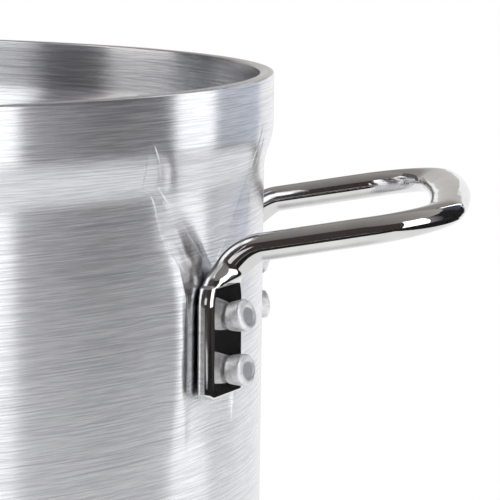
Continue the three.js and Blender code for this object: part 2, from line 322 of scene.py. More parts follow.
# %% Make the chrome
CHROME_DARK = (0.66, 0.655, 0.65, 1)
CHROME_LIGHT = (0.76, 0.757, 0.755, 1)
RIPPLE_SCALES = (55, 55, 55)
WIPE_SCALES = (260, 900, 320)
PATCH_SCALES = (40, 40, 40)
PATCH_COLOUR_RANGE = (0.35, 0.65)
PATCH_ROUGH_RANGE = (0.4, 0.75)
CHROME_ROUGHNESS = 0.035
PATCH_ROUGHNESS = 0.03
WIPE_ROUGHNESS = 0.02
RIPPLE_HEIGHT = 0.002


def handle_chrome():
    material, bench = new_finish("handle_chrome")
    point = bench.place()
    ripple = bench.noise(point, RIPPLE_SCALES, 1.0, 0.4)
    wipes = bench.noise(point, WIPE_SCALES, 3.0, 0.6)
    patches = bench.noise(point, PATCH_SCALES, 3.0, 0.6)
    dull = bench.ramp(patches, *PATCH_ROUGH_RANGE)
    shader = bench.node("ShaderNodeBsdfPrincipled", values={
        "Base Color": bench.mix(bench.ramp(patches, *PATCH_COLOUR_RANGE), CHROME_DARK, CHROME_LIGHT),
        "Metallic": 0.97,
        "Specular IOR Level": 0.0,
        "Roughness": CHROME_ROUGHNESS + dull * PATCH_ROUGHNESS + wipes * WIPE_ROUGHNESS,
        "Normal": bench.bump(ripple, 0.06, RIPPLE_HEIGHT),
    })
    bench.surface(shader)
    return material


rod_finish = handle_chrome()
print("Finish:", rod_finish.name)

# %% [markdown]
# ## Rivet aluminium
#
# The rivets are soft aluminium, upset with a punch, so their heads are matte and finely pitted. The punched
# dimple is given a painted shade: a darker, bluish colour that stands in for the shade and dark reflections
# in its hollow. Each rivet lies along its own x axis with x = 0 on the pad, so a point's place along that
# axis and its distance from it mark the dimple on every rivet.

# %% Make the rivet aluminium
RIVET_DARK = (0.62, 0.63, 0.65, 1)
RIVET_LIGHT = (0.90, 0.90, 0.905, 1)
# Painted shade: this dark bluish grey stands in for the shade and dark reflections in the dimple's hollow.
PAINTED_DIMPLE_SHADE = (0.30, 0.31, 0.345, 1)
PIT_SCALES = (1500, 1500, 1500)
SMEAR_SCALES = (420, 420, 420)
SMEAR_SHARE = 0.6
PIT_SHARE = 0.4
WORN_RANGE = (0.34, 0.62)
DIMPLE_RADIUS_RANGE = (0.0024, 0.0029)
DIMPLE_PLACE_RANGE = (0.0088, 0.0094)
PAINTED_SHADE_STRENGTH = 0.7
RIVET_ROUGHNESS = 0.42
PIT_ROUGHNESS = 0.16
PIT_HEIGHT = 0.0003


def rivet_aluminium():
    material, bench = new_finish("rivet_aluminium")
    x, y, z = bench.place()
    from_axis = (y * y + z * z) ** 0.5
    pits = bench.noise((x, y, z), PIT_SCALES, 3.0, 0.65)
    smears = bench.noise((x, y, z), SMEAR_SCALES)
    wear = bench.ramp(smears * SMEAR_SHARE + pits * PIT_SHARE, *WORN_RANGE)
    # Painted shade: inside the dimple the colour is darkened towards that bluish grey, in place of its shade.
    painted_shade_mask = (1 - bench.ramp(from_axis, *DIMPLE_RADIUS_RANGE)) * bench.ramp(x, *DIMPLE_PLACE_RANGE)
    colour = bench.mix(painted_shade_mask * PAINTED_SHADE_STRENGTH, bench.mix(wear, RIVET_DARK, RIVET_LIGHT), PAINTED_DIMPLE_SHADE)
    shader = bench.node("ShaderNodeBsdfPrincipled", values={
        "Base Color": colour,
        "Metallic": 1.0,
        "Roughness": RIVET_ROUGHNESS + pits * PIT_ROUGHNESS,
        "Normal": bench.bump(pits, 0.35, PIT_HEIGHT),
    })
    bench.surface(shader)
    return material


rivet_finish = rivet_aluminium()
print("Finish:", rivet_finish.name)

# %% [markdown]
# ## The shell's section
#
# The shell is turned, so its shape is one section: under the base, round the corner, up the wall, out over
# the bevel to the collar, across the flat rim and down the inside. A spin tool would do for that alone, but
# the pressed flats under the lugs break the round shape, so the section becomes rows of points that can be
# moved one by one. Spun metal has no knife edges, so each edge is rounded with a short curve.

# %% Draw the shell's section
POT_HEIGHT = 320
INNER_RADIUS = 160
WALL = 4
BASE_THICKNESS = 5
BASE_CORNER_RADIUS = 16
BODY_DRAFT = 1.5
COLLAR_HEIGHT = 16.7
COLLAR_STEP = 2.65
BEVEL_HEIGHT = 8
RIM_EDGE = 0.5
BEVEL_EDGE = 3.2
EDGE_POINTS = 6
CORNER_POINTS = 13
BASE_RADII = (15, 45, 80, 115, 135)
FINE_ABOVE = 205
OUTSIDE_STEPS = (1.2, 9.0)
INSIDE_STEPS = (4.0, 12.0)

bevel_top = POT_HEIGHT - COLLAR_HEIGHT
bevel_foot = bevel_top - BEVEL_HEIGHT
body_radius = INNER_RADIUS + WALL
rim_radius = body_radius + COLLAR_STEP
foot_radius = body_radius - BODY_DRAFT


def rounded(corners):
    """A line through the corners (radius, height, rounding), each corner rounded by a short curve."""
    line = [np.array(corners[0][:2], float)]
    for before, here, after in zip(corners, corners[1:], corners[2:]):
        point = np.array(here[:2], float)
        back = np.array(before[:2], float) - point
        onward = np.array(after[:2], float) - point
        start = point + back / np.linalg.norm(back) * here[2]
        end = point + onward / np.linalg.norm(onward) * here[2]
        for share in np.linspace(0, 1, EDGE_POINTS):
            line.append((1 - share) ** 2 * start + 2 * share * (1 - share) * point + share ** 2 * end)
    line.append(np.array(corners[-1][:2], float))
    return line


def filled(line, steps):
    """The same line with more points, in fine steps where the handles sit and coarse ones below."""
    fine, coarse = steps
    points = [line[0]]
    for start, end in zip(line, line[1:]):
        step = fine if (start[1] + end[1]) / 2 > FINE_ABOVE else coarse
        count = max(1, math.ceil(np.linalg.norm(end - start) / step))
        points += [blend(start, end, k / count) for k in range(1, count + 1)]
    return points


def quarter(radius, height, corner):
    """The base's rounded corner, from flat to upright."""
    return [np.array((radius - corner * (1 - math.sin(t)), height + corner * (1 - math.cos(t))))
            for t in np.linspace(0, math.pi / 2, CORNER_POINTS)]


def shell_section():
    """Rows of (radius, height) from under the base, over the rim and down to the inside of the base."""
    inner_corner = BASE_CORNER_RADIUS - WALL
    outline = rounded([
        (foot_radius, BASE_CORNER_RADIUS, 0),
        (body_radius, bevel_foot, BEVEL_EDGE),
        (rim_radius, bevel_top, BEVEL_EDGE),
        (rim_radius, POT_HEIGHT, RIM_EDGE),
        (rim_radius - WALL, POT_HEIGHT, RIM_EDGE),
        (rim_radius - WALL, bevel_top, BEVEL_EDGE),
        (body_radius - WALL, bevel_foot, BEVEL_EDGE),
        (foot_radius - WALL, BASE_THICKNESS + inner_corner, 0),
    ])
    rim = int(np.argmax([height for _, height in outline]))
    wall = filled(outline[:rim + 1], OUTSIDE_STEPS) + filled(outline[rim:], INSIDE_STEPS)[1:]
    under = [np.array((radius, 0.0)) for radius in BASE_RADII]
    foot = quarter(foot_radius, 0, BASE_CORNER_RADIUS)
    heel = quarter(foot_radius - WALL, BASE_THICKNESS, inner_corner)[::-1]
    inside = [np.array((radius, float(BASE_THICKNESS))) for radius in BASE_RADII[::-1]]
    return np.array(under + foot + wall[1:-1] + heel + inside)


section_rows = shell_section()
print("Shell section:", len(section_rows), "rows, rim radius", rim_radius, "mm")

# %% [markdown]
# ## The flats under the lugs
#
# A flat lug can't lie on a round wall, so the wall is pressed flat under each one. A flat is a chord of the
# round wall, so its depth follows from its width. The rod's root above the lug has to meet the handle's
# straight leg. The angle of each lug could be measured, but here it follows from the space between the
# legs, so the two always agree.

# %% Set out the flats
PAD_WIDTH = 30
LEG_SPACING = 118.6
LUG_DROP = 52.5
LUG_LENGTH = 31.1
LUG_THICKNESS = 5.2
LUG_STEP = 0.95
CLEARANCE = 0.3

lug_top = POT_HEIGHT - LUG_DROP
lug_foot = lug_top - LUG_LENGTH
pad_share = (bevel_foot - (lug_top + lug_foot) / 2) / (bevel_foot - BASE_CORNER_RADIUS)
pad_radius = body_radius - BODY_DRAFT * pad_share
pad_plane = math.sqrt(pad_radius ** 2 - (PAD_WIDTH / 2) ** 2)
root_thickness = LUG_THICKNESS + LUG_STEP
root_plane = pad_plane + CLEARANCE + root_thickness / 2
lug_angle = math.asin(LEG_SPACING / 2 / root_plane)
lug_angles = [lug_angle, math.pi - lug_angle, math.pi + lug_angle, 2 * math.pi - lug_angle]
print("Flats:", round(pad_radius - pad_plane, 2), "mm deep at", round(math.degrees(lug_angle), 2), "degrees")

# %% [markdown]
# ## The folds above the lugs
#
# Above each lug the sheet had to give, and it gave along two folds on either side. They start close together
# under the rim and run down and inwards to the lug. Each is drawn as a few points of a line, a drop below
# the rim and a distance from the lug's middle. A painted line would not catch the light, so a fold is a small
# step in the wall, crisp along the line and soon relaxed again.

# %% Draw the folds
MAIN_FOLD = ((11, 35.6), (17.8, 31.4), (24.0, 29.8), (47, 3.0), (90, 3.0))
MAIN_FOLD_DROPS = (11, 49)
SIDE_FOLD = ((14, 37.4), (23.6, 36.6), (26, 32.6), (31, 28.6), (38, 27.4), (49, 15.4), (90, 15.0))
SIDE_FOLD_DROPS = (14, 40)
FOLD_GAP = 1.6
FOLD_DEPTH = 0.09
FOLD_WIDTH = 1.1
FOLD_RELAX = 7
FOLD_FADE_IN = 4
FOLD_FADE_OUT = 6


def main_fold(drop):
    """How far the main fold lies from the lug's middle, at a drop below the rim."""
    return np.interp(drop, *np.array(MAIN_FOLD).T)


def side_fold(drop):
    """The same for the side fold, which never runs into the main one."""
    return np.maximum(np.interp(drop, *np.array(SIDE_FOLD).T), main_fold(drop) + FOLD_GAP)


def crease(aside, drop, place, drops):
    """A small step along a fold, which relaxes towards the lug."""
    first, last = drops
    inwards = place - aside
    ends = ease(drop, first, first + FOLD_FADE_IN) * (1 - ease(drop, last - FOLD_FADE_OUT, last))
    step = ease(inwards, -FOLD_WIDTH / 2, FOLD_WIDTH / 2)
    return FOLD_DEPTH * ends * step * np.exp(-np.maximum(inwards, 0) / FOLD_RELAX)


print("Folds start", MAIN_FOLD[0][1], "and", SIDE_FOLD[0][1], "mm from the lug's middle")

# %% [markdown]
# ## The press
#
# The press leaves a facet that climbs from the flat's top corners to the bevel, and beside the flat it lifts
# the wall into a low straight lip. A bump in the finish could hint at it, but these forms change the
# reflections and the outline, so one function says how deep the wall is pressed at each point, and the mesh
# itself is moved.

# %% Work out how deep the press goes
PAD_TOP_DROP = 46.2
PAD_MARGIN = 4
PAD_FADE = 14
FACET_RISE = 1.3
FACET_SPREAD = 12.5
FACET_FOOT_POWER = 2
FACET_TOP_POWER = 8
LIP_REACH = 16.5
LIP_EDGE = (14, 17.5)
LIP_TOP = (49, 56)
LIP_FOOT = (79, 87)
LIP_SLANT = 0.32

pad_top = POT_HEIGHT - PAD_TOP_DROP
pad_foot = lug_foot - PAD_MARGIN
facet_top = bevel_foot + FACET_RISE


def flat_depth(aside, z):
    """The depth of the flat, and of the facet above it."""
    half = PAD_WIDTH / 2
    chord = np.maximum(pad_radius - pad_plane / np.cos(aside / pad_radius), 0)
    climb = np.clip((z - pad_top) / (facet_top - pad_top), 0, 1)
    across = np.clip(aside / (half + FACET_SPREAD * climb), 0, 1)
    bulge = across ** blend(FACET_FOOT_POWER, FACET_TOP_POWER, climb)
    facet = (pad_radius - pad_plane) * (1 - climb) * (1 - bulge)
    return np.where(z > pad_top, facet, chord * ease(z, pad_foot - PAD_FADE, pad_foot))


def lip_height(aside, drop):
    """How far the lip beside the flat stands out. Its foot slants down, away from the lug."""
    beyond = np.clip(PAD_WIDTH / 2 + LIP_REACH - aside, 0, LIP_REACH)
    lip = beyond ** 2 / (2 * pad_radius) * ease(aside, *LIP_EDGE)
    return lip * ease(drop, *LIP_TOP) * (1 - ease(drop - LIP_SLANT * aside, *LIP_FOOT))


def pressed_depth(aside, drop):
    """How far the press pushes the wall in, at a distance from the lug's middle and a drop."""
    folds = crease(aside, drop, main_fold(drop), MAIN_FOLD_DROPS)
    folds = folds + crease(aside, drop, side_fold(drop), SIDE_FOLD_DROPS)
    return flat_depth(aside, POT_HEIGHT - drop) - lip_height(aside, drop) + folds


print("Pressed behind the lug's top:", round(float(pressed_depth(0.0, LUG_DROP)), 2), "mm")

# %% [markdown]
# ## The shell's mesh
#
# Each row of the section becomes a ring round the pot. With evenly spaced points a fold would cross the mesh
# at a slant and show as a row of teeth, so some of the mesh's columns follow the two folds from row to row,
# and the rest share the space between them. Far from the lugs the columns stay even.

# %% Skin the shell
PRESS_REACH = 47
FOLD_COLUMNS = (-0.7, -0.45, -0.25, -0.1, 0.1, 0.25, 0.45, 0.7)
INNER_COLUMNS = 15
MIDDLE_COLUMNS = 6
OUTER_COLUMNS = 10
EVEN_TURN = math.radians(2.0)

press_top = POT_HEIGHT - MAIN_FOLD_DROPS[0]


def side_columns(drop):
    """Distances of the columns on one side of a lug. Some of them follow the two folds."""
    main, side = main_fold(drop), side_fold(drop)
    fold = np.array(FOLD_COLUMNS)
    reach = fold[-1]
    return np.concatenate([
        np.linspace(0, main - reach, INNER_COLUMNS)[:-1], main + fold,
        np.linspace(main + reach, side - reach, MIDDLE_COLUMNS)[1:-1], side + fold,
        np.linspace(side + reach, PRESS_REACH, OUTER_COLUMNS)[1:],
    ])


def ring_of_columns(drop):
    """Angles of one ring's points, and how far each lies from the middle of its lug."""
    one_side = side_columns(drop)
    near_lug = np.concatenate([-one_side[:0:-1], one_side])
    reach = PRESS_REACH / pad_radius
    angles, asides = [], []
    for lug, after in zip(lug_angles, lug_angles[1:] + [lug_angles[0] + 2 * math.pi]):
        gap = after - lug - 2 * reach
        steps = math.ceil(gap / EVEN_TURN)
        angles += (lug + near_lug / pad_radius).tolist()
        angles += [lug + reach + gap * k / steps for k in range(1, steps)]
        asides += np.abs(near_lug).tolist() + [PRESS_REACH] * (steps - 1)
    return np.array(angles), np.array(asides)


def shell_rings():
    rings = []
    for radius, z in section_rows:
        drop = POT_HEIGHT - z
        angles, asides = ring_of_columns(drop)
        on_wall = BASE_CORNER_RADIUS < z < press_top
        reach = radius - (pressed_depth(asides, drop) if on_wall else 0 * asides)
        rings.append(np.stack([reach * np.cos(angles), reach * np.sin(angles),
                               np.full(len(angles), z)], 1))
    return rings


shell_mesh = skin("pot_body", shell_rings(), (0, 0, 0), (0, 0, BASE_THICKNESS))
shell = hang("pot_shell", shell_mesh, "pot_body", wall_finish)
print("Shell:", len(shell_mesh.polygons), "faces")

# %% [markdown]
# ## The lugs
#
# A handle starts as one rod, and its ends are forged flat into lugs. A curve with a bevel would keep one
# section all the way, so the handle is skinned over rings whose section changes along it. A ring is a
# rectangle with rounded corners, and its front and back can differ. Large corners make it an oval, so the
# same ring serves for the flat lug and for the round rod.

# %% Forge the lugs
ROD_SIDES = 64
LUG_WIDTH = 21.3
LUG_BELT = 2.5
LUG_EDGE_RADIUS = 2.2
LUG_BACK_RADIUS = 2.3
LUG_FOOT_RADIUS = 1.1
LUG_CROWN = 0.3
LUG_FOOT_BOW = 2.1
LUG_BOW_HEIGHT = 12
LUG_SHOULDER_WIDTH = 18.6
LUG_SHOULDER_HEIGHT = 5
FOOT_RINGS = 8
FACE_RINGS = 9
FACE_START = 0.6
SHOULDER_RINGS = 12
SHOULDER_END = 0.97

lug_back = pad_plane + CLEARANCE
lug_normal = np.array((math.cos(lug_angle), math.sin(lug_angle), 0))
lug_across = np.array((-math.sin(lug_angle), math.cos(lug_angle), 0))
upright = np.array((0.0, 0.0, 1.0))


def section(centre, u, v, half, front, back, front_corner, back_corner):
    """One ring round the rod. Its widest line lies front and back millimetres from its two faces."""
    turns = around(ROD_SIDES, 0.5)
    behind = np.sin(turns) > 0
    corner_u = np.where(behind, back_corner[0], front_corner[0])
    corner_v = np.where(behind, back_corner[1], front_corner[1])
    depth = np.where(behind, back, front)
    along_u = np.sign(np.cos(turns)) * (half - corner_u) + corner_u * np.cos(turns)
    along_v = np.sign(np.sin(turns)) * (depth - corner_v) + corner_v * np.sin(turns)
    return np.asarray(centre) + np.outer(along_u, u) + np.outer(along_v, v)


def lug_ring(z, half, front, back, edge, rear):
    """A ring of the lug at a height. The face is a little crowned and the foot is bowed."""
    ring = section(lug_normal * (lug_back + back) + upright * z, lug_across, -lug_normal,
                   half, front, back, (edge, edge), (rear, rear))
    aside = (ring @ lug_across) / (LUG_WIDTH / 2)
    bow = LUG_FOOT_BOW * (1 - float(ease(z, lug_foot, lug_foot + LUG_BOW_HEIGHT)))
    in_front = (ring @ lug_normal) > lug_back + back
    sunk = np.where(in_front, LUG_CROWN * aside ** 2, 0)
    return ring + np.outer(bow * aside ** 2, upright) - np.outer(sunk, lug_normal)


def lug_sections():
    """Rings up a lug: its rounded foot, its flat face and the shoulders that draw in."""
    half = LUG_WIDTH / 2
    shoulder = half - LUG_SHOULDER_WIDTH / 2
    behind = LUG_THICKNESS - LUG_BELT
    edge, rear = LUG_EDGE_RADIUS, LUG_BACK_RADIUS
    rings = []
    for t in np.linspace(0, math.pi / 2, FOOT_RINGS):
        inset = LUG_FOOT_RADIUS * (1 - math.sin(t))
        z = lug_foot + LUG_FOOT_RADIUS * (1 - math.cos(t))
        ring = lug_ring(z, half - inset, LUG_BELT - inset, behind - inset, edge - inset, rear - inset)
        rings.append(ring + lug_normal * inset)
    for z in lug_foot + edge + np.linspace(FACE_START, LUG_BOW_HEIGHT, FACE_RINGS):
        rings.append(lug_ring(z, half, LUG_BELT, behind, edge, rear))
    for climb in np.linspace(0, SHOULDER_END, SHOULDER_RINGS):
        z = lug_top - LUG_SHOULDER_HEIGHT * (1 - climb)
        rings.append(lug_ring(z, half - shoulder * climb ** 2, LUG_BELT, behind, edge, rear))
    return rings


lug_rings = lug_sections()
print("Lug:", len(lug_rings), "rings of", ROD_SIDES, "points")

# %% [markdown]
# ## The step and the bend
#
# A lug ends in a short sharp step, where the thicker root of the rod begins. The root then turns from flat
# to round while the rod bends away from the wall. Joining two finished pieces would leave a seam there, so
# every size of the ring is blended along the bend.

# %% Bend the rod away from the wall
ROD_DIAMETER = 7.6
STEP_HEIGHT = 0.65
STEP_PROFILE = ((0.06, 0.03), (0.14, 0.1), (0.5, 0.5), (0.86, 0.9), (0.96, 0.97), (1.1, 1.0))
ROOT_WIDTH = 16.4
ROOT_BELT = 3.0
ROOT_CORNER = 2.9
ROOT_START = 2.4
ROOT_RINGS = 3
ROOT_NARROWS = (-0.12, 0.36)
ROOT_ROUNDS = (-0.1, 0.4)
LEG_DROP = 43.9
LEG_RISE = math.radians(9.2)
BEND_RADIUS = 12.4
BEND_FILL = 1.1
BEND_RINGS = 48
BEND_CROWDING = 1.3

rod_radius = ROD_DIAMETER / 2
half_span = LEG_SPACING / 2
sideways = np.array((0.0, 1.0, 0.0))
bend_turn = math.pi / 2 - LEG_RISE
bend_x = root_plane * math.cos(lug_angle)
bend_foot = POT_HEIGHT - LEG_DROP - BEND_RADIUS * math.tan(bend_turn / 2)


def step_sections():
    """The slanted ledge where the lug ends and the thicker root of the rod begins."""
    rings = []
    for rise, share in STEP_PROFILE:
        half = blend(LUG_SHOULDER_WIDTH, ROOT_WIDTH, share) / 2
        front = blend(LUG_BELT, ROOT_BELT, share)
        back = LUG_THICKNESS + LUG_STEP * share - front
        edge = blend(LUG_EDGE_RADIUS, ROOT_CORNER, share)
        rear = blend(LUG_BACK_RADIUS, ROOT_CORNER, share)
        rings.append(lug_ring(lug_top + STEP_HEIGHT * rise, half, front, back, edge, rear))
    return rings


def bend_sections():
    """The root turns from flat to round while the rod bends away from the wall."""
    start = math.asin((lug_top + ROOT_START * STEP_HEIGHT - bend_foot) / BEND_RADIUS)
    root_back = root_thickness - ROOT_BELT
    root_lift = root_back - root_thickness / 2
    rings = []
    for share in np.linspace(0, 1, BEND_RINGS) ** BEND_CROWDING:
        t = blend(start, bend_turn, share)
        along = np.array((math.sin(t), 0, math.cos(t)))
        u = blend(lug_across, sideways, share)
        u = u - along * u.dot(along)
        u = u / np.linalg.norm(u)
        v = np.cross(along, u)
        narrow = float(ease(share, *ROOT_NARROWS))
        rounding = float(ease(share, *ROOT_ROUNDS))
        half = blend(ROOT_WIDTH / 2, rod_radius, narrow)
        front = blend(ROOT_BELT, rod_radius, narrow) + BEND_FILL * math.sin(math.pi * share)
        back = blend(root_back, rod_radius, narrow)
        corner = blend(ROOT_CORNER, half, rounding)
        front_corner = (corner, blend(ROOT_CORNER, front, rounding))
        back_corner = (corner, blend(ROOT_CORNER, back, rounding))
        centre = np.array((bend_x + BEND_RADIUS * (1 - math.cos(t)), half_span,
                           bend_foot + BEND_RADIUS * math.sin(t))) - v * root_lift * (1 - narrow)
        rings.append(section(centre, u, v, half, front, back, front_corner, back_corner))
    return rings


def between(first, last, count):
    """Rings that lead smoothly from one section to the next."""
    return [blend(first, last, float(ease(k / (count + 1), 0, 1))) for k in range(1, count + 1)]


step_rings = step_sections()
bend_rings = bend_sections()
root_rings = step_rings + between(step_rings[-1], bend_rings[0], ROOT_RINGS) + bend_rings
print("Step and bend:", len(root_rings), "rings, bent by", round(math.degrees(bend_turn), 1), "degrees")

# %% [markdown]
# ## The grip
#
# The two legs run straight out and slightly up, turn round two corners and meet in a gently bowed grip, which
# is pressed oval for the hand. Half of it is enough: the other half is its mirror image, and the left handle
# is the right one after half a turn round the pot.

# %% Bend the grip and skin the handles
GRIP_REACH = 53
GRIP_WIDTH = 11.45
GRIP_THICKNESS = 7.1
GRIP_CORNER_RADIUS = 21.4
GRIP_BOW_RADIUS = 380
GRIP_EASE = 6
LEG_START = 2
LEG_RINGS = 9
CORNER_RINGS = 34
BOW_RINGS = 22
FLAT_WEIGHT = 80

leg_x = bend_x + BEND_RADIUS * (1 - math.cos(bend_turn))
leg_z = bend_foot + BEND_RADIUS * math.sin(bend_turn)
bow_angle = math.asin((half_span - GRIP_CORNER_RADIUS) / (GRIP_BOW_RADIUS - GRIP_CORNER_RADIUS))
grip_x = body_radius + GRIP_REACH
bow_x = grip_x - GRIP_BOW_RADIUS
corner_x = bow_x + (GRIP_BOW_RADIUS - GRIP_CORNER_RADIUS) * math.cos(bow_angle)
corner_y = half_span - GRIP_CORNER_RADIUS
to_front = np.array((1, -1, 1))
handle_turns = {"right": np.ones(3), "left": np.array((-1, -1, 1))}


def arc(x, y, radius, angles):
    """Places (x, y) on an arc, each with the direction (dx, dy) in which the rod runs there."""
    return [(x + radius * math.cos(t), y + radius * math.sin(t), math.sin(t), -math.cos(t)) for t in angles]


def loop_sections():
    """Rings from the end of the bend, along the leg and round the corner to the grip's middle."""
    up = np.array((-math.sin(LEG_RISE), 0, math.cos(LEG_RISE)))
    leg = [(x, half_span, 1.0, 0.0) for x in np.linspace(leg_x + LEG_START, corner_x, LEG_RINGS)[:-1]]
    corner = arc(corner_x, corner_y, GRIP_CORNER_RADIUS, np.linspace(math.pi / 2, bow_angle, CORNER_RINGS))
    bow = arc(bow_x, 0, GRIP_BOW_RADIUS, np.linspace(bow_angle, 0, BOW_RINGS)[1:])
    rings = []
    for x, y, dx, dy in leg + corner + bow:
        along = np.array((dx, dy, dx * math.tan(LEG_RISE)))
        u = np.cross(up, along)
        u = u / np.linalg.norm(u)
        share = float(ease(x, corner_x - GRIP_EASE, grip_x))
        half_u = blend(rod_radius, GRIP_WIDTH / 2, share)
        half_v = blend(rod_radius, GRIP_THICKNESS / 2, share)
        centre = (x, y, leg_z + (x - leg_x) * math.tan(LEG_RISE))
        oval = (half_u, half_v)
        rings.append(section(centre, u, up, half_u, half_v, half_v, oval, oval))
    return rings


rear_half = lug_rings + root_rings + loop_sections()
handle_rings = rear_half + [ring * to_front for ring in rear_half[-2::-1]]
for side, turn in handle_turns.items():
    rings = [ring * turn for ring in handle_rings]
    feet = [np.append(ring.mean(0)[:2], lug_foot) for ring in (rings[0], rings[-1])]
    mesh = skin(f"{side}_rod", rings, *feet)
    handle = hang(f"{side}_rod_handle", mesh, f"{side}_handle", rod_finish)
    flats = handle.modifiers.new("flat lugs stay flat", "WEIGHTED_NORMAL")
    flats.weight = FLAT_WEIGHT
    print(handle.name, "has", len(mesh.polygons), "faces")

# %% [markdown]
# ## The rivets
#
# Each rivet has a low domed head inside the pot, a shank through the wall and the lug, and an outer head
# that a punch spread into a short barrel with a dimple. It is a turned shape, so one section goes round its
# axis. A spin would make every head alike, but a punch never lands quite straight, so the rings lean a little
# towards the head's end. The mesh is then set square on its pad.

# %% Turn the rivets
RIVET_HEAD_DIAMETER = 8.5
RIVET_SEAT_DIAMETER = 7.4
RIVET_HEAD_HEIGHT = 5.5
RIVET_SHANK_DIAMETER = 6
RIVET_FLAT_DIAMETER = 5.3
RIVET_SHOULDER = 1.0
RIVET_DIMPLE_DEPTH = 0.25
RIVET_INNER_DIAMETER = 10
RIVET_INNER_HEIGHT = 2.2
RIVET_SIDES = 64
DOME_TURNS = (0.12, math.pi / 2, 10)
DOME_EDGE = 0.1
SEAT_EDGE = 0.15
SEAT_RISE = 0.1
BARREL_ROWS = 14
BARREL_SWELL = 0.8
SHOULDER_TURNS = (0.12, math.pi / 2 - 0.08, 11)
SHOULDER_SWELL = 0.9
DIMPLE_SHARES = (0.99, 0.96, 0.92, 0.88, 0.84, 0.8, 0.6, 0.35, 0.15)
DIMPLE_SIDE = (0.8, 1.0)
LEAN_GROWTH = 1.5
LEAN_SHIFT_ASIDE = 1.2
LEAN_SHIFT_UP = 2.5

seat = CLEARANCE + LUG_THICKNESS + CLEARANCE


def rivet_section():
    """Rows of (radius, place along the axis) from the inner dome to the dimple."""
    inner_seat = -WALL - CLEARANCE
    inner = RIVET_INNER_DIAMETER / 2
    shank = RIVET_SHANK_DIAMETER / 2
    narrow = RIVET_SEAT_DIAMETER / 2
    widest = RIVET_HEAD_DIAMETER / 2
    flat = RIVET_FLAT_DIAMETER / 2
    end = seat + RIVET_HEAD_HEIGHT
    shoulder_foot = end - RIVET_SHOULDER
    dome = [(inner * math.sin(t), inner_seat - RIVET_INNER_HEIGHT * math.cos(t))
            for t in np.linspace(*DOME_TURNS)]
    waist = [(inner - DOME_EDGE, inner_seat), (shank, inner_seat), (shank, seat), (narrow - SEAT_EDGE, seat)]
    barrel = [(blend(narrow, widest, math.sin(share * math.pi / 2) ** BARREL_SWELL),
               blend(seat + SEAT_RISE, shoulder_foot, share)) for share in np.linspace(0, 1, BARREL_ROWS)]
    shoulder = [(blend(flat, widest, math.cos(t) ** SHOULDER_SWELL),
                 shoulder_foot + RIVET_SHOULDER * math.sin(t)) for t in np.linspace(*SHOULDER_TURNS)]
    dimple = [(flat * share, end - RIVET_DIMPLE_DEPTH * float(1 - ease(share, *DIMPLE_SIDE)))
              for share in DIMPLE_SHARES]
    return dome + waist + barrel + shoulder + dimple


def rivet_rings(lean_aside, lean_up):
    """Rings round the rivet. The punch leaves the head's end leaning a little aside and up."""
    turns = around(RIVET_SIDES)
    rings = []
    for radius, along in rivet_section():
        y, z = radius * np.cos(turns), radius * np.sin(turns)
        share = float(np.clip((along - seat) / RIVET_HEAD_HEIGHT, 0, 1)) ** LEAN_GROWTH
        tip = along - share * (lean_aside * y + lean_up * z)
        aside = y + share * lean_aside * LEAN_SHIFT_ASIDE
        rings.append(np.stack([tip, aside, z + share * lean_up * LEAN_SHIFT_UP], 1))
    return rings


print("Rivet section:", len(rivet_section()), "rows")

# %% [markdown]
# ## Setting the rivets
#
# Two rivets, one above the other, go through each of the four lugs. All of them come from the same section,
# and each mesh is moved to its pad and turned to face outwards. One mesh could serve for all eight, but the
# heads lean differently in the photograph, so each rivet has a mesh of its own.

# %% Set the rivets in the lugs
RIVET_DROP = 8.2
RIVET_SPACING = 14.4
RIVET_LEANS = {
    "front": {"upper": (0.2, 0.27), "lower": (0.2, 0.12)},
    "rear": {"upper": (-0.1, -0.25), "lower": (-0.05, 0.05)},
}

rivet_levels = {"upper": lug_top - RIVET_DROP, "lower": lug_top - RIVET_DROP - RIVET_SPACING}
lug_places = {"right_front": -lug_angle, "right_rear": lug_angle,
              "left_front": math.pi + lug_angle, "left_rear": math.pi - lug_angle}
rivets = []
for place, angle in lug_places.items():
    end = place.split("_")[1]
    outwards = -1 if place in ("right_front", "left_rear") else 1
    for level, z in rivet_levels.items():
        lean_aside, lean_up = RIVET_LEANS[end][level]
        rings = rivet_rings(outwards * lean_aside, lean_up)
        name = f"{place}_{level}_rivet"
        mesh = skin(name, rings, rings[0].mean(0), rings[-1].mean(0))
        rivet = hang(f"{place}_{level}_upset_rivet", mesh, name, rivet_finish)
        on_pad = Vector((pad_plane * math.cos(angle), pad_plane * math.sin(angle), z)) * MM
        rivet.matrix_world = Matrix.Translation(on_pad) @ Matrix.Rotation(angle, 4, "Z")
        rivets.append(rivet)
print("Rivets:", len(rivets), "of", len(rivets[0].data.polygons), "faces each")

# %% [markdown]
# ## Cards for the studio
#
# Metal has hardly any colour of its own: it shows the studio around it. So the bright and dark bands on the
# pot come from cards and softboxes that stand outside the picture, as a photographer would place them. A
# picture of a studio wrapped round the world could do the same, but cards are easier to move one by one.
# They glow with the colour that their corners carry, and they show in reflections only.

# %% Helpers that make a card
STUDIO_EYE = 0.28
ROOM_RADIUS = 3.2
ROOM_RISE = 44
CARD_COLUMNS = 25
FLOOR_CARD_HEIGHT = 0.002
CEILING_LIGHT = (0.44, 0.425, 0.405)
CEILING_DARK = (0.15, 0.132, 0.126)
CEILING_SIDES = 48
CEILING_MIDDLE = 0.45
CEILING_LIGHT_TURN = math.radians(40)


def card_finish():
    """A card glows with the colour that its corners carry."""
    material, bench = new_finish("studio_card")
    colour = bench.wire(bench.node("ShaderNodeAttribute", {"attribute_name": "glow"}), "Color")
    glow = bench.node("ShaderNodeEmission", values={"Color": colour, "Strength": 1.0})
    bench.surface(glow)
    material.cycles.emission_sampling = "NONE"
    return material


card_glow = card_finish()


